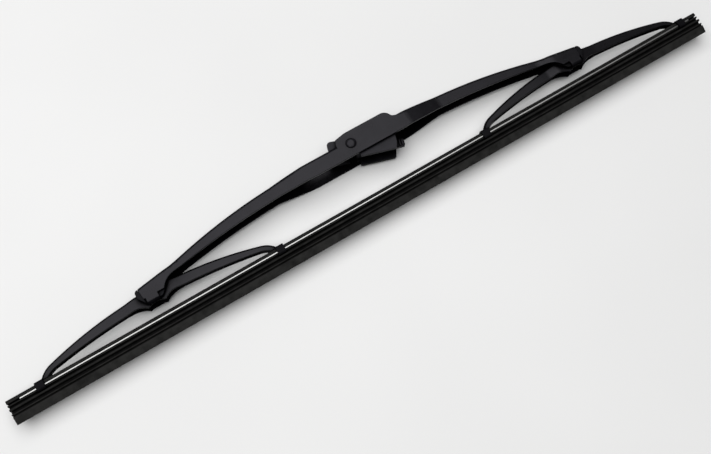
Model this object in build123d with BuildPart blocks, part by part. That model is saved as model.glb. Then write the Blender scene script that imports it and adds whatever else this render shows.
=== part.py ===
from build123d import *
import os
from math import cos, hypot, radians, sin, sqrt, tan

# Wiper blade with a pressed-steel frame, lying on its side. Millimetres.
# X runs along the blade, Y from the wiping lip up to the bridge, Z out of the blade's side.
# The origin is on the axis of the adapter's rivet, in the blade's middle plane.

# Whole frame
frame_mid_x = 2.3  # middle of the frame, beside the rivet
yoke_spacing = 123.3  # frame's middle to each yoke's pivot
claw_reach = 63.2  # yoke's pivot to the middle of each claw

# Pressed steel
sheet = 1.0
bend_radius = 2.0  # outside of the long bends
crease_radius = 14.0  # soft creases where the bridge changes its width

# Adapter, in its own frame: along it from nose to tail, and up from the rivet's axis
adapter_tilt = -17.5
hook_width = 9.0
hook_clearance = 0.1  # each side
adapter_cheek = 1.35
adapter_side_clearance = 0.25  # adapter in the bridge
nose_u = -12.1
nose_low_v = -5.2
nose_top_v = 4.0
nose_corner = 2.0
skirt_start_u = 3.4
skirt_low_v = -7.65
tail_u = 23.0
tail_low_u = 22.0
tail_top_v = 2.0
cheek_corner = 1.0
barrel_wall = 1.45
slab_thickness = 2.0
slab_end_u = 9.0
tongue_recess = 0.3
tongue_slit = 0.7
nub_u = 15.0
nub_radius = 1.4
nub_height = 0.7
tab_start_u = 21.0
tab_end_u = 27.4
tab_low_v = -4.9
tab_top_v = -0.5
tab_thickness = 1.6
tab_rib = 0.7
tab_rib_height = 0.5
tab_rib_pitch = 1.4
tab_rib_count = 3

# Rivet
rivet_radius = 2.4
rivet_head_radius = 2.7
rivet_head_height = 0.8
rivet_crown_radius = 1.7  # flat middle of the head
rivet_rim = 0.25
rivet_hole_clearance = 0.02
pin_clearance = 0.05  # adapter on the rivet
snap_slot = 3.6  # narrower than the rivet, so that the adapter snaps on

# Bridge in side view, X from the frame's middle
bow_top_y = 2.6
bow_low_y = -5.0
bow_flat = 30.0  # straight middle stretch, each way
bow_top_radius = 290.0
bow_low_radius = 404.0
wall_low_y = -6.65  # walls are deeper round the adapter
wall_low_half = 25.5
wall_low_end = 47.5
wall_low_round = 30.0

# Bridge's end pads, X from the yoke's pivot
arm_end = -14.0  # where the lower edge turns down to the pad
pad_start = -12.5
pad_low_start = -6.3
pad_end = 5.3
pad_end_lean = 0.8
pad_angle = 9.4  # fall of the pad's top edge
pad_low_drop = 0.3  # below the pivot
pad_corner = 1.2
pad_blend_radius = 25.0  # where the bow's top runs into the pad
pad_taper_start = -17.5
pad_taper_end = -9.5
pivot_depth = 7.097  # pad's top edge to the pivot

# Bridge's arms in plan
arm_half = 4.3
cheek_taper_start = 30.3
cheek_taper_end = 49.2

# Raised cheeks over the adapter, X from the rivet
window_front = -26.0  # room for the hook before the nose
window_clearance = 0.5  # round the adapter's swing
hump_foot_left = -7.4
hump_left = -6.1
hump_left_y = 5.5
hump_shoulder = -0.3
hump_top_y = 6.65
hump_crest = 24.0
hump_crest_radius = 4.5
hump_foot_right = 25.9
hump_foot_radius = 2.0
hump_foot_run = 6.0  # where the cheek's edge sinks into the bend

# Yokes, X from the pivot, heights from the pivot's axis
yoke_arm_half = 1.75
yoke_saddle_half = 2.9
saddle_end = 9.2
saddle_taper_end = 15.0
yoke_crease_radius = 8.0
yoke_fold = 1.2  # outside of the narrow folds
arch_height = 4.4
arch_radius = 192.0
notch_half = 2.6
notch_height = -3.0
ear_x = 4.5
ear_tip_height = -4.5
ear_root_x = 12.0
ear_root_height = -1.9
arm_low_end_height = -6.8
arm_low_sag = 0.75

# Ends of the yokes' arms, X back from the middle of the claw
arch_setback = 7.2
arm_low_setback = 9.2
hollow_setback = 9.2
neck_outer_setback = 0.3
neck_inner_setback = 4.0

# Pivot of the yokes
trunnion_radius = 1.95
trunnion_clearance = 0.05
bush_side_clearance = 0.15  # yoke in the bush
bush_seat_clearance = 0.05  # bush in the bridge

# Bushes, X from the yoke's pivot, heights from the pivot's axis
bush_wall = 1.4
bush_inner_x = -8.2
bush_inner_height = 1.65
bush_web_end = -2.4
bush_web_thickness = 0.9
bush_low_half = 4.2
bush_low_height = -2.7
bush_flange = 1.75
bush_flange_drop = 0.7  # below the bridge's top
bush_flange_height = 1.5
bush_corner = 1.2
bush_flange_corner = 1.8

# Crimped tabs under the bushes, X from the yoke's pivot
crimp_inner = -2.6
crimp_outer = 3.6
crimp_radius = 2.25
crimp_gap = 0.3  # to the yoke's side wall

# Rubber section, depths below the top of the head, half widths across
rubber_drop = 10.0  # pivot's axis to the top of the head
rubber_left_overhang = 16.7  # past the middle of the left outer claw
rubber_right_overhang = 10.3
head_half = 3.2
head_depth = 1.7
slot_half = 1.0
slot_depth = 2.5
lip_half = 3.0
lip_depth = 3.2
groove_half = 1.3
groove_depth = 4.4
flange_half = 3.0
flange_depth = 5.4
web_half = 0.9
web_depth = 6.8
wing_half = 2.4
wing_depth = 7.5
neck_half = 1.3
neck_depth = 8.0
shoulder_half = 2.0
shoulder_depth = 8.3
tip_half = 0.35
tip_depth = 11.8
rubber_edge = 0.2  # broken corners of the section

# Rails in the rubber's slots
rail_seat_clearance = 0.05
rail_proud = 0.1  # past the side of the head
rail_left_setback = 6.4  # inside the rubber's left end
rail_right_setback = 5.2

# Claws on the yokes
claw_length = 4.2
claw_sheet = 0.75
claw_clearance = 0.1
claw_lip_clearance = 0.3
claw_round = 1.2
neck_sink = 0.25  # neck's foot inside the claw's top wall

# Values that follow from the sizes above
section_reach = 60.0  # longer than any cut needs
slope = tan(radians(pad_angle))
pad_start_x = yoke_spacing + pad_start
pad_end_x = yoke_spacing + pad_end
arm_end_x = yoke_spacing + arm_end
arch_end = claw_reach - arch_setback
arm_low_end = claw_reach - arm_low_setback
hollow_end = claw_reach - hollow_setback
neck_outer = claw_reach - neck_outer_setback
neck_inner = claw_reach - neck_inner_setback
hook_half = hook_width / 2 + hook_clearance
adapter_half = hook_half + adapter_cheek
cheek_inner = adapter_half + adapter_side_clearance
cheek_half = cheek_inner + sheet
bush_inner = yoke_saddle_half + bush_side_clearance
bush_outer = bush_inner + bush_wall
pad_inner = bush_outer + bush_seat_clearance
pad_half = pad_inner + sheet
barrel_radius = rivet_radius + pin_clearance + barrel_wall
window_back = hypot(tail_u, skirt_low_v) + window_clearance
tab_slot_end = hypot(tab_end_u, tab_low_v) + window_clearance
tab_slot_half = tab_thickness / 2 + tab_rib_height + window_clearance
hump_low_y = bow_top_y - bend_radius * 2


def bow_top(x):
    """Height of the bridge's top edge at a distance from the frame's middle."""
    if x > pad_start_x:
        return bow_top(pad_start_x) - slope * (x - pad_start_x)
    run = max(x - bow_flat, 0)
    return bow_top_y - bow_top_radius + sqrt(bow_top_radius**2 - run**2)


def bow_low(x):
    """Height of the bridge's lower edge along its arm."""
    run = max(x - bow_flat, 0)
    return bow_low_y - bow_low_radius + sqrt(bow_low_radius**2 - run**2)


def arch_top(x):
    """Height of a yoke's top edge at a distance from its pivot."""
    return pivot_y + arch_height - arch_radius + sqrt(arch_radius**2 - x**2)


# Heights that follow from the bow
pivot_y = bow_top(yoke_spacing) - pivot_depth
pad_low_y = pivot_y - pad_low_drop
notch_top_y = pivot_y + notch_height
ear_tip_y = pivot_y + ear_tip_height
ear_root_y = pivot_y + ear_root_height
arm_low_end_y = pivot_y + arm_low_end_height
arm_end_depth = arch_top(arm_low_end) - arm_low_end_y
bush_low_y = pivot_y + bush_low_height
bush_inner_low_y = pivot_y + bush_inner_height
bush_flange_low_y = pivot_y + bush_flange_height
crimp_top_y = bush_low_y - bush_seat_clearance
crimp_low_y = crimp_top_y - sheet
rubber_top_y = pivot_y - rubber_drop

# Claws round the rubber and its rails
rail_outer = head_half + rail_proud
rail_thickness = slot_depth - head_depth - rail_seat_clearance * 2
claw_inner = rail_outer + claw_clearance
claw_half = claw_inner + claw_sheet
claw_roof_y = rubber_top_y + claw_clearance
claw_top_y = claw_roof_y + claw_sheet
claw_lip = groove_half + claw_lip_clearance
claw_lip_y = rubber_top_y - lip_depth - rail_seat_clearance
claw_low_y = claw_lip_y - claw_sheet
neck_foot_y = claw_top_y - neck_sink


def bow_top_line(drop, end_x):
    """Draws the right half of the bridge's top edge, lowered by a wall's thickness."""
    mid_x = (bow_flat + pad_start_x) / 2
    Line((0, bow_top_y - drop), (bow_flat, bow_top_y - drop))
    ThreePointArc(
        (bow_flat, bow_top_y - drop),
        (mid_x, bow_top(mid_x) - drop),
        (pad_start_x, bow_top(pad_start_x) - drop),
    )
    Line((pad_start_x, bow_top(pad_start_x) - drop), (end_x, bow_top(end_x) - drop))


def pad_starts(outline):
    """The corners of a side outline where the bow's top runs into the pads."""
    return outline.vertices().filter_by(lambda corner: abs(abs(corner.X) - pad_start_x) < sheet / 10)


def plan_line(wall, end_x):
    """Draws the bridge's plan, drawn in by a wall's thickness."""
    Polyline(
        (0, cheek_half - wall),
        (cheek_taper_start, cheek_half - wall),
        (cheek_taper_end, arm_half - wall),
        (yoke_spacing + pad_taper_start, arm_half - wall),
        (yoke_spacing + pad_taper_end, pad_half - wall),
        (end_x, pad_half - wall),
        (end_x, 0),
    )
    mirror(about=Plane.XZ)
    mirror(about=Plane.YZ)


def creases(outline):
    """The corners of a plan outline where the channel changes its width."""
    last = yoke_spacing + pad_taper_end
    return outline.vertices().filter_by(lambda corner: cheek_taper_start <= abs(corner.X) <= last)


def section_plane(x):
    """Plane across the blade at x, with its own X along Z and its own Y along Y."""
    return Plane((x, 0, 0), x_dir=(0, 0, 1), z_dir=(-1, 0, 0))


def yoke_top_line(drop, end_x):
    """Draws the right half of a yoke's top edge, lowered by a wall's thickness."""
    ThreePointArc(
        (0, arch_top(0) - drop),
        (end_x / 2, arch_top(end_x / 2) - drop),
        (end_x, arch_top(end_x) - drop),
    )


def yoke_plan_line(wall, end_x):
    """Draws a yoke's plan, drawn in by a wall's thickness."""
    Polyline(
        (0, yoke_saddle_half - wall),
        (saddle_end, yoke_saddle_half - wall),
        (saddle_taper_end, yoke_arm_half - wall),
        (end_x, yoke_arm_half - wall),
        (end_x, 0),
    )
    mirror(about=Plane.XZ)
    mirror(about=Plane.YZ)


def yoke_creases(outline):
    """The corners of a yoke's plan where it changes its width."""
    return outline.vertices().filter_by(lambda corner: saddle_end <= abs(corner.X) <= saddle_taper_end)


# Bridge
side_plane = Plane((frame_mid_x, 0, 0))
plan_plane = Plane((frame_mid_x, 0, 0), x_dir=(1, 0, 0), z_dir=(0, -1, 0))
past_end = pad_end_x + section_reach

with BuildPart() as bridge_hollow:
    with BuildSketch(side_plane):
        with BuildLine():
            bow_top_line(sheet, past_end)
            Polyline((past_end, bow_top(past_end) - sheet), (past_end, -section_reach), (0, -section_reach))
            mirror(about=Plane.YZ)
        fillet(pad_starts(make_face()), pad_blend_radius)
    extrude(amount=cheek_half, both=True)
    with BuildSketch(plan_plane):
        with BuildLine():
            plan_line(sheet, past_end)
        fillet(creases(make_face()), crease_radius)
    extrude(amount=section_reach * 2, both=True, mode=Mode.INTERSECT)

with BuildSketch() as bow:
    with BuildLine():
        bow_top_line(0, pad_end_x)
        Polyline(
            (pad_end_x, bow_top(pad_end_x)),
            (pad_end_x - pad_end_lean, pad_low_y),
            (yoke_spacing + pad_low_start, pad_low_y),
        )
        low_slope = (arm_end_x - bow_flat) / (bow_low(arm_end_x) - bow_low_y + bow_low_radius)
        TangentArc(
            (arm_end_x, bow_low(arm_end_x)),
            (yoke_spacing + pad_low_start, pad_low_y),
            tangent=(1, -low_slope),
        )
        mid_x = (bow_flat + arm_end_x) / 2
        ThreePointArc(
            (arm_end_x, bow_low(arm_end_x)), (mid_x, bow_low(mid_x)), (bow_flat, bow_low_y)
        )
        Line((bow_flat, bow_low_y), (0, bow_low_y))
        mirror(about=Plane.YZ)
    fillet(pad_starts(make_face()), pad_blend_radius)
    with BuildLine():
        Polyline(
            (0, bow_top_y - sheet),
            (wall_low_end, bow_low(wall_low_end)),
            (wall_low_half, wall_low_y),
            (0, wall_low_y),
        )
        mirror(about=Plane.YZ)
    make_face()
    wall_corners = vertices().filter_by(lambda corner: abs(abs(corner.X) - wall_low_half) < sheet / 10)
    fillet(wall_corners, wall_low_round)

with BuildSketch() as rounded_bow:
    add(bow.sketch_local)
    ends = vertices().group_by(Axis.X)
    fillet(ends[0] + ends[-1], pad_corner)

with BuildPart() as main_bridge:
    with BuildSketch(side_plane):
        add(bow.sketch_local)
    extrude(amount=cheek_half, both=True)
    with BuildSketch(plan_plane):
        with BuildLine():
            plan_line(0, past_end)
        fillet(creases(make_face()), crease_radius)
    extrude(amount=section_reach * 2, both=True, mode=Mode.INTERSECT)
    top_faces = faces().filter_by(lambda face: face.normal_at().Y > 0.5)
    fillet(top_faces.edges().filter_by(Axis.Z, reverse=True), bend_radius)
    add(bridge_hollow.part, mode=Mode.SUBTRACT)
    with BuildSketch(side_plane):
        for outward in (-1, 1):
            with Locations((outward * pad_end_x, bow_top(pad_end_x))):
                Rectangle(pad_corner * 4, pad_corner * 4)
        add(rounded_bow.sketch_local, mode=Mode.SUBTRACT)
    extrude(amount=cheek_half, both=True, mode=Mode.SUBTRACT)
    with BuildSketch(Plane.XZ):
        with Locations((window_front, 0)):
            Rectangle(window_back - window_front, cheek_inner * 2, align=(Align.MIN, Align.CENTER))
        Rectangle(tab_slot_end, tab_slot_half * 2, align=(Align.MIN, Align.CENTER))
    extrude(amount=section_reach, both=True, mode=Mode.SUBTRACT)
    with BuildSketch(Plane.XY.offset(cheek_inner)):
        with BuildLine():
            Polyline(
                (hump_foot_left, hump_low_y),
                (hump_foot_left, bow_top_y),
                (hump_left, hump_left_y),
                (hump_shoulder, hump_top_y),
                (hump_crest, hump_top_y),
                (hump_foot_right, bow_top_y),
                (hump_foot_right + hump_foot_run, bow_top_y - bend_radius),
                (hump_foot_right + hump_foot_run, hump_low_y),
                close=True,
            )
        hump = make_face()
        crest = hump.vertices().group_by(Axis.Y)[-1].sort_by(Axis.X)[-1]
        fillet(crest, hump_crest_radius)
        foot = vertices().filter_by(lambda corner: abs(corner.X - hump_foot_right) < sheet / 10)
        fillet(foot, hump_foot_radius)
    extrude(amount=sheet)
    mirror(about=Plane.XY)
    with Locations(Location((0, 0, 0))):
        Hole(rivet_radius + rivet_hole_clearance)
    for outward in (-1, 1):
        crimp_x = yoke_spacing + (crimp_inner + crimp_outer) / 2
        with BuildSketch(section_plane(frame_mid_x + outward * crimp_x)):
            for side in (-1, 1):
                with BuildLine():
                    Polyline(
                        (side * pad_half, pad_low_y + sheet),
                        (side * pad_half, crimp_low_y),
                        (side * (yoke_saddle_half + crimp_gap), crimp_low_y),
                        (side * (yoke_saddle_half + crimp_gap), crimp_top_y),
                        (side * pad_inner, crimp_top_y),
                        (side * pad_inner, pad_low_y + sheet),
                        close=True,
                    )
                make_face()
            lowest = vertices().group_by(Axis.Y)[0].group_by(Axis.X)
            fillet(lowest[0] + lowest[-1], crimp_radius)
        extrude(amount=(crimp_outer - crimp_inner) / 2, both=True)

# Rivet with a low coned head at each end
with BuildPart() as pivot_rivet:
    with BuildSketch(Plane.XZ):
        with BuildLine():
            Polyline(
                (0, 0),
                (rivet_radius, 0),
                (rivet_radius, cheek_half),
                (rivet_head_radius, cheek_half),
                (rivet_head_radius, cheek_half + rivet_rim),
                (rivet_crown_radius, cheek_half + rivet_head_height),
                (0, cheek_half + rivet_head_height),
                close=True,
            )
        make_face()
    revolve(axis=Axis.Z)
    mirror(about=Plane.XY)


def build_yoke(pivot_x):
    """One rocker: a folded channel that widens at its pivot, with a claw on each end."""
    side = Plane((pivot_x, 0, 0))
    plan = Plane((pivot_x, 0, 0), x_dir=(1, 0, 0), z_dir=(0, -1, 0))

    with BuildPart() as hollow:
        with BuildSketch(side):
            with BuildLine():
                yoke_top_line(sheet, hollow_end)
                Polyline(
                    (hollow_end, arch_top(hollow_end) - sheet),
                    (hollow_end, -section_reach),
                    (0, -section_reach),
                )
                mirror(about=Plane.YZ)
            make_face()
        extrude(amount=yoke_saddle_half, both=True)
        with BuildSketch(plan):
            with BuildLine():
                yoke_plan_line(sheet, neck_outer)
            fillet(yoke_creases(make_face()), yoke_crease_radius)
        extrude(amount=section_reach * 2, both=True, mode=Mode.INTERSECT)

    with BuildPart() as yoke:
        with BuildSketch(side):
            with BuildLine():
                yoke_top_line(0, arch_end)
                TangentArc(
                    (arch_end, arch_top(arch_end)),
                    (neck_outer, neck_foot_y),
                    tangent=(sqrt(arch_radius**2 - arch_end**2), -arch_end),
                )
                Line((neck_outer, neck_foot_y), (neck_inner, neck_foot_y))
                low_mid_x = (ear_root_x + arm_low_end) / 2
                low_mid_y = (ear_root_y + arm_low_end_y) / 2 + arm_low_sag
                low = ThreePointArc(
                    (ear_root_x, ear_root_y), (low_mid_x, low_mid_y), (arm_low_end, arm_low_end_y)
                )
                TangentArc((arm_low_end, arm_low_end_y), (neck_inner, neck_foot_y), tangent=low % 1)
                TangentArc((ear_root_x, ear_root_y), (ear_x, ear_tip_y), tangent=(low % 0) * -1)
                notch_mid_y = (notch_top_y + ear_tip_y) / 2
                ThreePointArc((ear_x, ear_tip_y), (notch_half, notch_mid_y), (0, notch_top_y))
                mirror(about=Plane.YZ)
            make_face()
        extrude(amount=yoke_saddle_half, both=True)
        with BuildSketch(plan):
            with BuildLine():
                yoke_plan_line(0, neck_outer + sheet)
            fillet(yoke_creases(make_face()), yoke_crease_radius)
        extrude(amount=section_reach * 2, both=True, mode=Mode.INTERSECT)
        top_faces = faces().filter_by(lambda face: face.normal_at().Y > 0.5)
        fold = min(yoke_fold, arm_end_depth / 2)
        chamfer(top_faces.edges().filter_by(Axis.Z, reverse=True), fold)
        add(hollow.part, mode=Mode.SUBTRACT)
        with BuildSketch(side):
            with Locations((0, pivot_y)):
                Circle(trunnion_radius + trunnion_clearance)
        extrude(amount=section_reach, both=True, mode=Mode.SUBTRACT)
        for end in (-1, 1):
            with BuildSketch(section_plane(pivot_x + end * claw_reach)):
                with BuildLine():
                    Polyline(
                        (0, claw_top_y),
                        (claw_half, claw_top_y),
                        (claw_half, claw_low_y),
                        (claw_lip, claw_low_y),
                        (claw_lip, claw_lip_y),
                        (claw_inner, claw_lip_y),
                        (claw_inner, claw_roof_y),
                        (0, claw_roof_y),
                    )
                    mirror(about=Plane.YZ)
                jaw = make_face()
                outer = jaw.vertices().filter_by(lambda corner: abs(corner.X) > claw_inner + claw_round / 2)
                fillet(outer, claw_round)
            extrude(amount=claw_length / 2, both=True)
    return yoke.part


def build_bush(outward):
    """One plastic saddle in the bridge's end, with two trunnions for the yoke."""
    pivot_x = frame_mid_x + outward * yoke_spacing
    side = Plane((pivot_x, 0, 0), x_dir=(outward, 0, 0), z_dir=(0, 0, outward))
    pad_tip = pad_end + bush_seat_clearance
    flange_x = pad_tip + bush_flange
    flange_root = pad_tip + bush_flange / 2

    def seat(x):
        """Underside of the bridge's top wall, less the clearance."""
        return bow_top(yoke_spacing + x) - sheet - bush_seat_clearance

    with BuildPart() as bush:
        with BuildSketch(side):
            with BuildLine():
                Polyline(
                    (bush_inner_x, seat(bush_inner_x)),
                    (flange_root, seat(flange_root)),
                    (flange_root, bush_flange_low_y),
                    (bush_low_half, bush_low_y),
                    (-bush_low_half, bush_low_y),
                    (bush_inner_x, bush_inner_low_y),
                    close=True,
                )
            legs = make_face()
            fillet(legs.vertices().group_by(Axis.Y)[0].sort_by(Axis.X)[0], bush_corner)
        extrude(amount=bush_outer, both=True)
        with BuildSketch(side):
            with BuildLine():
                Polyline(
                    (pad_tip, seat(pad_tip) + sheet - bush_flange_drop),
                    (flange_x, seat(flange_x) + sheet - bush_flange_drop),
                    (flange_x, bush_flange_low_y),
                    (bush_low_half, bush_low_y),
                    (pad_tip - pad_end_lean, pad_low_y),
                    close=True,
                )
            flange = make_face()
            fillet(flange.vertices().group_by(Axis.X)[-1], bush_flange_corner)
        extrude(amount=pad_half, both=True)
        with BuildSketch(side):
            with BuildLine():
                Polyline(
                    (bush_inner_x - sheet, seat(bush_inner_x - sheet) - bush_web_thickness),
                    (bush_web_end, seat(bush_web_end) - bush_web_thickness),
                    (bush_web_end, sheet),
                    (flange_x + sheet, sheet),
                    (flange_x + sheet, -section_reach),
                    (bush_inner_x - sheet, -section_reach),
                    close=True,
                )
            make_face()
        extrude(amount=bush_inner, both=True, mode=Mode.SUBTRACT)
        for face_z in (-1, 1):
            with BuildSketch(side.offset(face_z * (yoke_saddle_half - sheet + bush_seat_clearance))):
                with Locations((0, pivot_y)):
                    Circle(trunnion_radius)
            extrude(amount=face_z * (sheet + bush_side_clearance))
    return bush.part


left_yoke = build_yoke(frame_mid_x - yoke_spacing)
right_yoke = build_yoke(frame_mid_x + yoke_spacing)
left_bush = build_bush(-1)
right_bush = build_bush(1)

# Rubber
rubber_right_x = frame_mid_x + yoke_spacing + claw_reach + rubber_right_overhang
rubber_length = (yoke_spacing + claw_reach) * 2 + rubber_left_overhang + rubber_right_overhang

with BuildPart() as wiper_rubber:
    with BuildSketch(section_plane(rubber_right_x)):
        with BuildLine():
            Polyline(
                (0, rubber_top_y),
                (head_half, rubber_top_y),
                (head_half, rubber_top_y - head_depth),
                (slot_half, rubber_top_y - head_depth),
                (slot_half, rubber_top_y - slot_depth),
                (lip_half, rubber_top_y - slot_depth),
                (lip_half, rubber_top_y - lip_depth),
                (groove_half, rubber_top_y - lip_depth),
                (groove_half, rubber_top_y - groove_depth),
                (flange_half, rubber_top_y - groove_depth),
                (flange_half, rubber_top_y - flange_depth),
                (web_half, rubber_top_y - flange_depth),
                (web_half, rubber_top_y - web_depth),
                (wing_half, rubber_top_y - web_depth),
                (wing_half, rubber_top_y - wing_depth),
                (neck_half, rubber_top_y - wing_depth),
                (neck_half, rubber_top_y - neck_depth),
                (shoulder_half, rubber_top_y - shoulder_depth),
                (tip_half, rubber_top_y - tip_depth),
                (0, rubber_top_y - tip_depth),
            )
            mirror(about=Plane.YZ)
        section = make_face()
        chamfer(section.vertices().filter_by(lambda corner: abs(corner.X) >= wing_half), rubber_edge)
    extrude(amount=rubber_length)

# Spring rails
rail_length = rubber_length - rail_left_setback - rail_right_setback
rail_width = rail_outer - slot_half - rail_seat_clearance
rail_mid = rail_outer - rail_width / 2
rail_mid_y = rubber_top_y - (head_depth + slot_depth) / 2


def build_rail(side):
    """One flat steel strip in the slot on that side of the rubber."""
    with BuildPart() as rail:
        with BuildSketch(section_plane(rubber_right_x - rail_right_setback)):
            with Locations((side * rail_mid, rail_mid_y)):
                Rectangle(rail_width, rail_thickness)
        extrude(amount=rail_length)
    return rail.part


near_rail = build_rail(1)
far_rail = build_rail(-1)

# Adapter, turned about the rivet
adapter_plane = Plane((0, 0, 0), x_dir=(cos(radians(adapter_tilt)), sin(radians(adapter_tilt)), 0))
slab_low_v = -barrel_radius
tongue_low_v = slab_low_v + tongue_recess
nub_plane = Plane(
    adapter_plane.from_local_coords((nub_u, tongue_low_v, 0)),
    x_dir=adapter_plane.x_dir,
    z_dir=-adapter_plane.y_dir,
)

with BuildPart() as arm_adapter:
    with BuildSketch(adapter_plane):
        with BuildLine():
            Polyline(
                (nose_u, nose_low_v),
                (nose_u, nose_top_v),
                (tail_u, tail_top_v),
                (tail_u, slab_low_v),
                (tail_low_u, skirt_low_v),
                (skirt_start_u, skirt_low_v),
                (skirt_start_u, nose_low_v),
                close=True,
            )
        cheek = make_face()
        fillet(cheek.vertices().group_by(Axis.X)[0], nose_corner)
        fillet(vertices().filter_by(lambda corner: corner.X > skirt_start_u), cheek_corner)
    extrude(amount=adapter_half, both=True)
    with BuildSketch(adapter_plane):
        Rectangle(section_reach * 2, section_reach)
    extrude(amount=hook_half, both=True, mode=Mode.SUBTRACT)
    with BuildSketch(adapter_plane):
        Circle(barrel_radius)
        with Locations((0, slab_low_v)):
            Rectangle(slab_end_u, slab_thickness, align=(Align.MIN, Align.MIN))
    extrude(amount=hook_half, both=True)
    with BuildSketch(adapter_plane):
        with Locations((slab_end_u, tongue_low_v)):
            Rectangle(tail_u - slab_end_u, slab_thickness - tongue_recess, align=(Align.MIN, Align.MIN))
    extrude(amount=hook_half - tongue_slit, both=True)
    with BuildSketch(nub_plane):
        Circle(nub_radius)
    extrude(amount=nub_height, both=True)
    with BuildSketch(adapter_plane):
        with BuildLine():
            Polyline(
                (tab_start_u, tab_low_v),
                (tab_end_u, tab_low_v),
                (tab_end_u, tab_top_v),
                (tab_start_u, tab_top_v),
                close=True,
            )
        fin = make_face()
        fillet(fin.vertices(), cheek_corner)
    extrude(amount=tab_thickness / 2, both=True)
    with BuildSketch(adapter_plane):
        for rib in range(tab_rib_count):
            with Locations((tab_end_u - (rib + 0.75) * tab_rib_pitch, (tab_low_v + tab_top_v) / 2)):
                Rectangle(tab_rib, tab_top_v - tab_low_v - cheek_corner)
    extrude(amount=tab_thickness / 2 + tab_rib_height, both=True)
    with BuildSketch(adapter_plane):
        Circle(rivet_radius + pin_clearance)
        Rectangle(snap_slot, section_reach, align=(Align.CENTER, Align.MAX))
    extrude(amount=adapter_half + sheet, both=True, mode=Mode.SUBTRACT)

# Finished pieces
pieces = {
    "main_bridge": main_bridge.part,
    "pivot_rivet": pivot_rivet.part,
    "arm_adapter": arm_adapter.part,
    "left_yoke": left_yoke,
    "right_yoke": right_yoke,
    "left_bush": left_bush,
    "right_bush": right_bush,
    "wiper_rubber": wiper_rubber.part,
    "near_rail": near_rail,
    "far_rail": far_rail,
}
os.makedirs("parts", exist_ok=True)
for name, piece in pieces.items():
    piece.label = name
    export_step(piece, f"parts/{name}.step")
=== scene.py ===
import bmesh
import bpy
from math import cos, radians, sin, tan
from mathutils import Matrix, Vector


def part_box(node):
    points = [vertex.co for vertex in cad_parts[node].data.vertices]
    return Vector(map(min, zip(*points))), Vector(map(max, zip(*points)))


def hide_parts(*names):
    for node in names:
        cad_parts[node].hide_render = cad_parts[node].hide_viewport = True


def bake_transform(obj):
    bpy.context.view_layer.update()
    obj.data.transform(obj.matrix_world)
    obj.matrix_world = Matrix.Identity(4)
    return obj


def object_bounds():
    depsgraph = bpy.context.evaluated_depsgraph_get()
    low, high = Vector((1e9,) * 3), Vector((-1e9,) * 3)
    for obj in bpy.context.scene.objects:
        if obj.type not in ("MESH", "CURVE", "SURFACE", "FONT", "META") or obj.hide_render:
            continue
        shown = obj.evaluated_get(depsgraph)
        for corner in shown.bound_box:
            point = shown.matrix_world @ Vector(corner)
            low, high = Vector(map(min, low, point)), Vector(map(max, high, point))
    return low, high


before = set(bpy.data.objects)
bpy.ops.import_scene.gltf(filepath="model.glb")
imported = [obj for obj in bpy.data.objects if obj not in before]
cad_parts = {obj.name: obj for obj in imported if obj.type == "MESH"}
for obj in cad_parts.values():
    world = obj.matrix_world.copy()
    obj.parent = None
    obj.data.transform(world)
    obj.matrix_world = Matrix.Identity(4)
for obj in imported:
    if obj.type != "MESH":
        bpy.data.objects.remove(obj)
cad_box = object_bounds()
scene = bpy.context.scene
MM = 0.001

# Places read from the frame, in metres
RUBBER_LOW, RUBBER_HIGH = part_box("wiper_rubber")
RAIL_LOW, RAIL_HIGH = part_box("near_rail")
RUBBER_TOP = RUBBER_HIGH[1]

# Rubber's section in millimetres: half widths from the middle plane, depths below the top of the head
HEAD_HALF, HEAD_DEPTH = 3.2, 1.7
SLOT_HALF, SLOT_DEPTH = 1.0, 2.5
RIB_HALF, RIB_DEPTH = 3.0, 3.2
GROOVE_HALF, GROOVE_DEPTH = 1.3, 4.4
FLANGE_HALF, FLANGE_DEPTH = 3.0, 5.4
WEB_HALF, WEB_DEPTH = 0.9, 6.8
WING_HALF, WING_DEPTH = 2.4, 7.5
NECK_HALF, NECK_DEPTH = 1.3, 8.0
SHOULDER_HALF, SHOULDER_DEPTH = 2.0, 8.3
TIP_HALF, TIP_DEPTH = 0.35, 11.8

# Radii of the section's corners in millimetres
HEAD_EDGE = 0.35
SLOT_EDGE, SLOT_CORNER = 0.15, 0.1
RIB_EDGE, FLANGE_EDGE = 0.25, 0.3
GROOVE_CORNER, WEB_CORNER = 0.2, 0.4
NECK_EDGE, NECK_CORNER = 0.15, 0.1
SHOULDER_EDGE, TIP_EDGE = 0.2, 0.06

# Rails in the rubber's slots, in millimetres
RAIL_CLEARANCE = 0.05
RAIL_PROUD = 0.1  # past the side of the head
RAIL_EDGE, RAIL_CORNER = 0.16, 0.1

# The strip's two halves
SEAM = 2.3 * MM  # X halfway between the yokes' pivots
STATION_PITCH = 4 * MM
SHARP_ANGLE = radians(38)

# Heights along Y where a finish changes
CLAW_RISE = 0.9 * MM  # from the rubber's top to just above the claws
CLAW_TOP = RUBBER_TOP + CLAW_RISE
LIP_TOP = RUBBER_TOP - NECK_DEPTH * MM
HEIGHT_BLEND = 0.3 * MM  # each way

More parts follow.
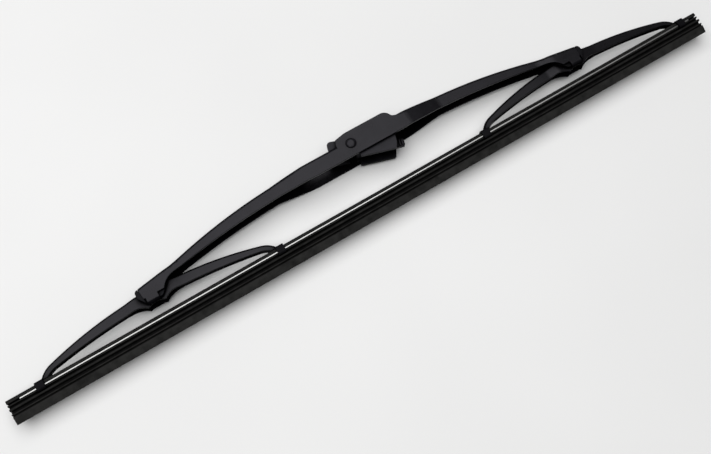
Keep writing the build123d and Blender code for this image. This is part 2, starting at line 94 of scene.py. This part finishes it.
# Finish
MOST_NOISE = (0.3, 0.7)  # where most of a noise's values lie
HOLLOW_TO_OPEN_RANGE = (0.1, 0.6)  # factor range from the dark colour, painted shade in hollows, to the pale dusty tone in the open
WHOLE = (0.0, 1.0)  # a factor's whole range
EDGE_SAMPLES = 6
CREVICE_SAMPLES = 8
EDGE_LIKENESS = (0.85, 0.98)  # cosines between the rounded and the true normal
FLAT_COSINES = (0.8, 0.97)  # from a bend to a face square to Z
WALL_COSINES = (0.05, 0.25)  # from an upright wall to a bend
PAINT_ROUGHNESS = (0.2, 0.26)
PAINT_GLOSS = (0.01, 0.19)
PAINT_EDGE_MM = 0.6
RUBBER_ROUGHNESS = (0.5, 0.66)
RUBBER_GLOSS = (0.01, 0.05)
STEEL_ROUGHNESS = (0.22, 0.4)
COOL_SHEEN = (0.94, 0.92, 1.0, 1)

# Stage, with lengths in metres
FLOOR_HALF = 3.0
FLOOR_GAP = 0.05 * MM
FLOOR_COLOURS = (0.785, 0.785, 0.782), (0.815, 0.815, 0.812)
WORLD_STRENGTH = 0.12
LAMP_Y, LAMP_HEIGHT, LAMP_DEPTH = 0.25, 1.2, 2.0

# Camera, fitted to the photograph's straight lines
AZIMUTH, ELEVATION, ROLL = radians(-28.98), radians(68), radians(-2.54)
TARGET = Vector((-20.35, -37.61, 0)) * MM
DISTANCE = 416.13 * MM
FOCAL_PIXELS, WIDTH_PIXELS = 844.59, 711
SENSOR_MM = 36
NEAR_CLIP = 10 * MM


# Node helpers

def new_material(name):
    """A node material and its shader."""
    material = bpy.data.materials.new(name)
    material.use_nodes = True
    return material, material.node_tree.nodes["Principled BSDF"]


def add_node(material, kind, **values):
    """Adds a node and sets its inputs by name."""
    made = material.node_tree.nodes.new(kind)
    for key, value in values.items():
        made.inputs[key].default_value = value
    return made


def link(material, source, target):
    """Joins an output to an input."""
    material.node_tree.links.new(source, target)


def arithmetic(material, operation, *numbers):
    """One arithmetic step on the numbers."""
    made = add_node(material, "ShaderNodeMath")
    made.operation = operation
    for number, target in zip(numbers, made.inputs):
        link(material, number, target)
    return made.outputs["Value"]


def coordinate(material, kind, axis):
    """One part of the object's own coordinates or of its own normal."""
    place = add_node(material, "ShaderNodeTexCoord")
    parts = add_node(material, "ShaderNodeSeparateXYZ")
    link(material, place.outputs[kind], parts.inputs["Vector"])
    return parts.outputs[axis]


def noise(material, per_metre, stretch=(1, 1, 1), detail=3.0):
    """Noise with so many features to the metre."""
    place = add_node(material, "ShaderNodeTexCoord")
    mapping = add_node(material, "ShaderNodeMapping", Scale=stretch)
    made = add_node(material, "ShaderNodeTexNoise", Scale=per_metre, Detail=detail)
    link(material, place.outputs["Object"], mapping.inputs["Vector"])
    link(material, mapping.outputs["Vector"], made.inputs["Vector"])
    return made.outputs["Fac"]


def spread(material, factor, ends, over=MOST_NOISE):
    """A number that runs from one end to the other as the factor rises over its range."""
    made = add_node(material, "ShaderNodeMapRange")
    names = ("From Min", "From Max", "To Min", "To Max")
    for key, value in zip(names, (*over, *ends)):
        made.inputs[key].default_value = value
    link(material, factor, made.inputs["Value"])
    return made.outputs["Result"]


def tint(material, factor, colours, over=MOST_NOISE):
    """A colour that runs from the first to the second as the factor rises over its range."""
    made = add_node(material, "ShaderNodeValToRGB")
    for element, position, colour in zip(made.color_ramp.elements, over, colours):
        element.position = position
        element.color = (*colour, 1)
    link(material, factor, made.inputs["Fac"])
    return made.outputs["Color"]


def soft_edges(material, radius_mm):
    """The surface's normal, rounded at the edges."""
    made = add_node(material, "ShaderNodeBevel", Radius=radius_mm * MM)
    made.samples = EDGE_SAMPLES
    return made.outputs["Normal"]


def openness(material, reach_mm, over):
    """A number that falls from 1 in the open to 0 in hollows and narrow gaps."""
    made = add_node(material, "ShaderNodeAmbientOcclusion", Distance=reach_mm * MM)
    made.samples = CREVICE_SAMPLES
    return spread(material, made.outputs["AO"], WHOLE, over)


def flats(material, radius_mm):
    """A number that falls from 1 on flat stretches to 0 along sharp edges."""
    surface = add_node(material, "ShaderNodeNewGeometry")
    likeness = add_node(material, "ShaderNodeVectorMath")
    likeness.operation = "DOT_PRODUCT"
    link(material, soft_edges(material, radius_mm), likeness.inputs[0])
    link(material, surface.outputs["Normal"], likeness.inputs[1])
    return spread(material, likeness.outputs["Value"], WHOLE, EDGE_LIKENESS)


def sides(material, bends, walls):
    """A number that is 1 on faces square to Z, with its own values on bends and upright walls."""
    cosine = arithmetic(material, "ABSOLUTE", coordinate(material, "Normal", "Z"))
    on_faces = spread(material, cosine, (bends, 1.0), FLAT_COSINES)
    on_walls = spread(material, cosine, (walls, bends), WALL_COSINES)
    return arithmetic(material, "MAXIMUM", on_faces, on_walls)


def by_height(material, height, below, above):
    """A number with one value below a height along Y and another above it."""
    band = (height - HEIGHT_BLEND, height + HEIGHT_BLEND)
    return spread(material, coordinate(material, "Object", "Y"), (below, above), band)


def product(material, first, second):
    """Two numbers multiplied."""
    return arithmetic(material, "MULTIPLY", first, second)


def bump(material, height, strength, depth_mm, under=None):
    """A bump of that depth, on top of another one."""
    made = add_node(material, "ShaderNodeBump", Strength=strength, Distance=depth_mm * MM)
    link(material, height, made.inputs["Height"])
    if under is not None:
        link(material, under, made.inputs["Normal"])
    return made.outputs["Normal"]


# Materials

def satin_paint(name, colours, shade_bends=True, dull_height=None, soft_mm=0.4):
    """Satin black paint on pressed steel: faint orange peel, a fine tooth, dusty variation, and
    painted shade that darkens its colour in hollows.

    As painted shade, the gloss is cut in hollows and, unless turned off, along sharp edges and bends;
    it is cut below the dull height too, which darkens the claws.
    """
    material, shader = new_material(name)
    # Painted shade: colour and gloss both fall in hollows and narrow gaps.
    air = openness(material, reach_mm=14, over=(0.6, 0.97))
    dust_and_hollow_shade = product(material, noise(material, per_metre=90, detail=5), air)
    link(material, tint(material, dust_and_hollow_shade, colours, HOLLOW_TO_OPEN_RANGE), shader.inputs["Base Color"])
    patches = noise(material, per_metre=700, detail=4)
    link(material, spread(material, patches, PAINT_ROUGHNESS), shader.inputs["Roughness"])
    gloss = spread(material, air, PAINT_GLOSS, WHOLE)
    # Painted shade: the gloss is cut along sharp edges and bends so that they render dark.
    if shade_bends:
        bend_and_edge_shade = product(material, flats(material, PAINT_EDGE_MM), sides(material, bends=0.0, walls=1.0))
        gloss = product(material, gloss, bend_and_edge_shade)
    if dull_height is not None:
        gloss = product(material, gloss, by_height(material, dull_height, below=0.1, above=1.0))
    link(material, gloss, shader.inputs["Specular IOR Level"])
    shader.inputs["Specular Tint"].default_value = COOL_SHEEN
    soft = soft_edges(material, soft_mm)
    peel_height = noise(material, per_metre=1100, detail=2)
    peel = bump(material, peel_height, strength=0.05, depth_mm=0.015, under=soft)
    tooth_height = noise(material, per_metre=6000, detail=2)
    tooth = bump(material, tooth_height, strength=0.08, depth_mm=0.005, under=peel)
    link(material, tooth, shader.inputs["Normal"])
    return material


def grained_plastic(name, colours, grain_per_metre, roughness, gloss):
    """Moulded plastic with a fine grain, with painted shade that darkens its colour in hollows and
    cuts its gloss in hollows, along edges and round bends.
    """
    material, shader = new_material(name)
    # Painted shade: colour and gloss both fall in hollows and narrow gaps.
    air = openness(material, reach_mm=8, over=(0.5, 0.95))
    dust_and_hollow_shade = product(material, noise(material, per_metre=160, detail=4), air)
    link(material, tint(material, dust_and_hollow_shade, colours, HOLLOW_TO_OPEN_RANGE), shader.inputs["Base Color"])
    patches = noise(material, per_metre=1400)
    link(material, spread(material, patches, roughness), shader.inputs["Roughness"])
    # Painted shade: the gloss is cut along edges, round bends and on upright walls.
    bend_and_edge_shade = product(material, flats(material, radius_mm=0.1), sides(material, bends=0.2, walls=0.5))
    shine = product(material, spread(material, air, gloss, WHOLE), bend_and_edge_shade)
    link(material, shine, shader.inputs["Specular IOR Level"])
    shader.inputs["Specular Tint"].default_value = COOL_SHEEN
    soft = soft_edges(material, radius_mm=0.3)
    grain_height = noise(material, grain_per_metre)
    grain = bump(material, grain_height, strength=0.35, depth_mm=0.012, under=soft)
    link(material, grain, shader.inputs["Normal"])
    return material


def extruded_rubber(name, colours):
    """Matt rubber with the faint lines of an extrusion along X, a dusty random tone that is palest on
    the lip, and painted shade that darkens the grooves and cuts their gloss.
    """
    material, shader = new_material(name)
    lines = noise(material, per_metre=1, stretch=(14, 2600, 2600))
    # Painted shade: colour and gloss fall in the grooves and narrow gaps.
    air = openness(material, reach_mm=2.5, over=(0.25, 0.8))
    lip_tone_and_groove_shade = product(material, air, by_height(material, LIP_TOP, below=1.0, above=0.72))
    dust_and_hollow_shade = product(material, noise(material, per_metre=260, detail=6), lip_tone_and_groove_shade)
    link(material, tint(material, dust_and_hollow_shade, colours, over=(0.05, 0.6)), shader.inputs["Base Color"])
    link(material, spread(material, lines, RUBBER_ROUGHNESS), shader.inputs["Roughness"])
    link(material, spread(material, air, RUBBER_GLOSS, WHOLE), shader.inputs["Specular IOR Level"])
    drawn = bump(material, lines, strength=0.3, depth_mm=0.012)
    pores = bump(material, noise(material, per_metre=5200), strength=0.15, depth_mm=0.008, under=drawn)
    link(material, pores, shader.inputs["Normal"])
    return material


def drawn_steel(name, colours):
    """Bright spring steel with fine scratches along X."""
    material, shader = new_material(name)
    lines = noise(material, per_metre=1, stretch=(30, 5200, 5200), detail=4)
    link(material, tint(material, lines, colours), shader.inputs["Base Color"])
    link(material, spread(material, lines, STEEL_ROUGHNESS), shader.inputs["Roughness"])
    link(material, bump(material, lines, strength=0.2, depth_mm=0.005), shader.inputs["Normal"])
    shader.inputs["Metallic"].default_value = 1.0
    return material


def pale_floor(name, colours):
    """A plain pale board with faint clouds."""
    material, shader = new_material(name)
    clouds = noise(material, per_metre=6, detail=2)
    link(material, tint(material, clouds, colours), shader.inputs["Base Color"])
    shader.inputs["Roughness"].default_value = 0.8
    shader.inputs["Specular IOR Level"].default_value = 0.2
    return material


# In the paints', plastics' and rubber's pairs of colours, the first is painted shade, which hollows
# and narrow gaps take; the second is the open surface.
bridge_paint = satin_paint("bridge_paint", ((0.0015, 0.0014, 0.0018), (0.0075, 0.0072, 0.0087)))
yoke_paint = satin_paint(
    "yoke_paint", ((0.0015, 0.0014, 0.0017), (0.0073, 0.0071, 0.0082)), dull_height=CLAW_TOP
)
rivet_paint = satin_paint(
    "rivet_paint", ((0.002, 0.0019, 0.0024), (0.008, 0.0077, 0.0098)), shade_bends=False, soft_mm=1.2
)
adapter_plastic = grained_plastic(
    "adapter_plastic",
    ((0.001, 0.001, 0.0012), (0.008, 0.0077, 0.0098)),
    grain_per_metre=3200,
    roughness=(0.38, 0.5),
    gloss=(0.01, 0.24),
)
bush_plastic = grained_plastic(
    "bush_plastic",
    ((0.001, 0.001, 0.0012), (0.005, 0.005, 0.006)),
    grain_per_metre=4200,
    roughness=(0.34, 0.46),
    gloss=(0.01, 0.07),
)
blade_rubber = extruded_rubber("rubber", ((0.002, 0.002, 0.0019), (0.0205, 0.0203, 0.0195)))
rail_steel = drawn_steel("rail_steel", ((0.3, 0.3, 0.295), (0.46, 0.46, 0.45)))

for node, material in {
    "main_bridge": bridge_paint,
    "pivot_rivet": rivet_paint,
    "arm_adapter": adapter_plastic,
    "left_yoke": yoke_paint,
    "right_yoke": yoke_paint,
    "left_bush": bush_plastic,
    "right_bush": bush_plastic,
}.items():
    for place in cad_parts[node].material_slots:
        place.material = material


# Rubber and rails, in two halves that meet at the seam

# Half of the section: distance from the middle plane, depth below the top, radius of the corner
RUBBER_HALF = (
    (HEAD_HALF, 0.0, HEAD_EDGE),
    (HEAD_HALF, HEAD_DEPTH, SLOT_EDGE),
    (SLOT_HALF, HEAD_DEPTH, SLOT_CORNER),
    (SLOT_HALF, SLOT_DEPTH, SLOT_CORNER),
    (RIB_HALF, SLOT_DEPTH, SLOT_EDGE),
    (RIB_HALF, RIB_DEPTH, RIB_EDGE),
    (GROOVE_HALF, RIB_DEPTH, GROOVE_CORNER),
    (GROOVE_HALF, GROOVE_DEPTH, GROOVE_CORNER),
    (FLANGE_HALF, GROOVE_DEPTH, RIB_EDGE),
    (FLANGE_HALF, FLANGE_DEPTH, FLANGE_EDGE),
    (WEB_HALF, FLANGE_DEPTH, WEB_CORNER),
    (WEB_HALF, WEB_DEPTH, WEB_CORNER),
    (WING_HALF, WEB_DEPTH, RIB_EDGE),
    (WING_HALF, WING_DEPTH, RIB_EDGE),
    (NECK_HALF, WING_DEPTH, NECK_CORNER),
    (NECK_HALF, NECK_DEPTH, NECK_EDGE),
    (SHOULDER_HALF, SHOULDER_DEPTH, SHOULDER_EDGE),
    (TIP_HALF, TIP_DEPTH, TIP_EDGE),
)


def rounded(outline, steps=4):
    """The outline's points, with an arc at each corner."""
    points = []
    for index, (x, y, radius) in enumerate(outline):
        corner = Vector((x, y))
        before = (Vector(outline[index - 1][:2]) - corner).normalized()
        after = (Vector(outline[(index + 1) % len(outline)][:2]) - corner).normalized()
        half = before.angle(after) / 2
        reach = radius / tan(half)
        centre = corner + (before + after).normalized() * (radius / sin(half))
        first = corner + before * reach - centre
        turn = (corner + after * reach - centre).angle_signed(first)
        for step in range(steps + 1):
            points.append(centre + Matrix.Rotation(turn * step / steps, 2) @ first)
    return points


def rubber_section():
    """The rubber's section as (Z, Y) in metres."""
    mirrored = [(-z, depth, radius) for z, depth, radius in reversed(RUBBER_HALF)]
    return [(p.x * MM, RUBBER_TOP - p.y * MM) for p in rounded([*RUBBER_HALF, *mirrored])]


def rail_section(side):
    """The section of a rail in its slot, as (Z, Y) in metres."""
    inner, outer = SLOT_HALF + RAIL_CLEARANCE, HEAD_HALF + RAIL_PROUD
    top, low = HEAD_DEPTH + RAIL_CLEARANCE, SLOT_DEPTH - RAIL_CLEARANCE
    outline = (
        (inner, top, RAIL_CORNER),
        (outer, top, RAIL_EDGE),
        (outer, low, RAIL_EDGE),
        (inner, low, RAIL_CORNER),
    )
    return [(side * p.x * MM, RUBBER_TOP - p.y * MM) for p in rounded(outline, steps=3)]


def stations(start, end):
    """Evenly spaced places along X."""
    count = max(2, round(abs(end - start) / STATION_PITCH))
    return [start + (end - start) * step / count for step in range(count + 1)]


def swept(name, section, end, material):
    """A closed bar with that section, from the seam to its end along X."""
    mesh = bmesh.new()
    rings = [[mesh.verts.new((x, y, z)) for z, y in section] for x in stations(SEAM, end)]
    count = len(section)
    for ring, following in zip(rings, rings[1:]):
        for index in range(count):
            after = (index + 1) % count
            mesh.faces.new((ring[index], ring[after], following[after], following[index]))
    mesh.faces.new(rings[0])
    mesh.faces.new(reversed(rings[-1]))
    bmesh.ops.recalc_face_normals(mesh, faces=mesh.faces)
    data = bpy.data.meshes.new(name)
    mesh.to_mesh(data)
    mesh.free()
    data.shade_smooth()
    data.set_sharp_from_angle(angle=SHARP_ANGLE)
    data.materials.append(material)
    made = bpy.data.objects.new(name, data)
    scene.collection.objects.link(made)
    return made


for word, towards, rubber_end, rail_end, claw in (
    ("left", -1, RUBBER_LOW[0], RAIL_LOW[0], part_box("left_yoke")[1][0]),
    ("right", 1, RUBBER_HIGH[0], RAIL_HIGH[0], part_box("right_yoke")[0][0]),
):
    rubber = swept(f"rubber_{word}_half", rubber_section(), rubber_end, blade_rubber)
    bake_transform(rubber)
    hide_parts("wiper_rubber")
    for rail_name, side in (("near_rail", 1), ("far_rail", -1)):
        rail = swept(f"{rail_name}_{word}_half", rail_section(side), rail_end, rail_steel)
        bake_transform(rail)
        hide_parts(rail_name)


# Stage: a pale floor under a wide softbox, with a dimmer panel beside it over the right end

def area_lamp(name, x, width, power):
    """A rectangular lamp overhead that faces down."""
    data = bpy.data.lights.new(name, "AREA")
    data.shape = "RECTANGLE"
    data.size = width
    data.size_y = LAMP_DEPTH
    data.energy = power
    lamp = bpy.data.objects.new(name, data)
    lamp.location = (x, LAMP_Y, LAMP_HEIGHT)
    scene.collection.objects.link(lamp)


floor_mesh = bmesh.new()
bmesh.ops.create_grid(floor_mesh, x_segments=1, y_segments=1, size=FLOOR_HALF)
floor_data = bpy.data.meshes.new("floor")
floor_mesh.to_mesh(floor_data)
floor_mesh.free()
floor_data.materials.append(pale_floor("pale_floor", FLOOR_COLOURS))
floor = bpy.data.objects.new("floor", floor_data)
floor.location = (0, 0, cad_box[0][2] - FLOOR_GAP)
scene.collection.objects.link(floor)

area_lamp("overhead_softbox", x=-0.32, width=1.54, power=23.4)
area_lamp("side_panel", x=0.595, width=0.29, power=2.4)

world = bpy.data.worlds.new("studio")
scene.world = world
world.use_nodes = True
background = world.node_tree.nodes["Background"]
background.inputs["Color"].default_value = (1.0, 1.0, 1.0, 1)
background.inputs["Strength"].default_value = WORLD_STRENGTH


# Camera

back = Vector((sin(AZIMUTH) * cos(ELEVATION), -cos(AZIMUTH) * cos(ELEVATION), sin(ELEVATION)))
level = Vector((0, 0, 1)).cross(back).normalized()
upright = back.cross(level)
right = cos(ROLL) * level + sin(ROLL) * upright
up = cos(ROLL) * upright - sin(ROLL) * level
camera_data = bpy.data.cameras.new("camera")
camera_data.sensor_width = SENSOR_MM
camera_data.lens = FOCAL_PIXELS / WIDTH_PIXELS * SENSOR_MM
camera_data.clip_start = NEAR_CLIP
camera = bpy.data.objects.new("camera", camera_data)
turned = Matrix((right, up, back)).transposed().to_4x4()
camera.matrix_world = Matrix.Translation(TARGET + DISTANCE * back) @ turned
scene.collection.objects.link(camera)
scene.camera = camera

scene.view_settings.view_transform = "Standard"
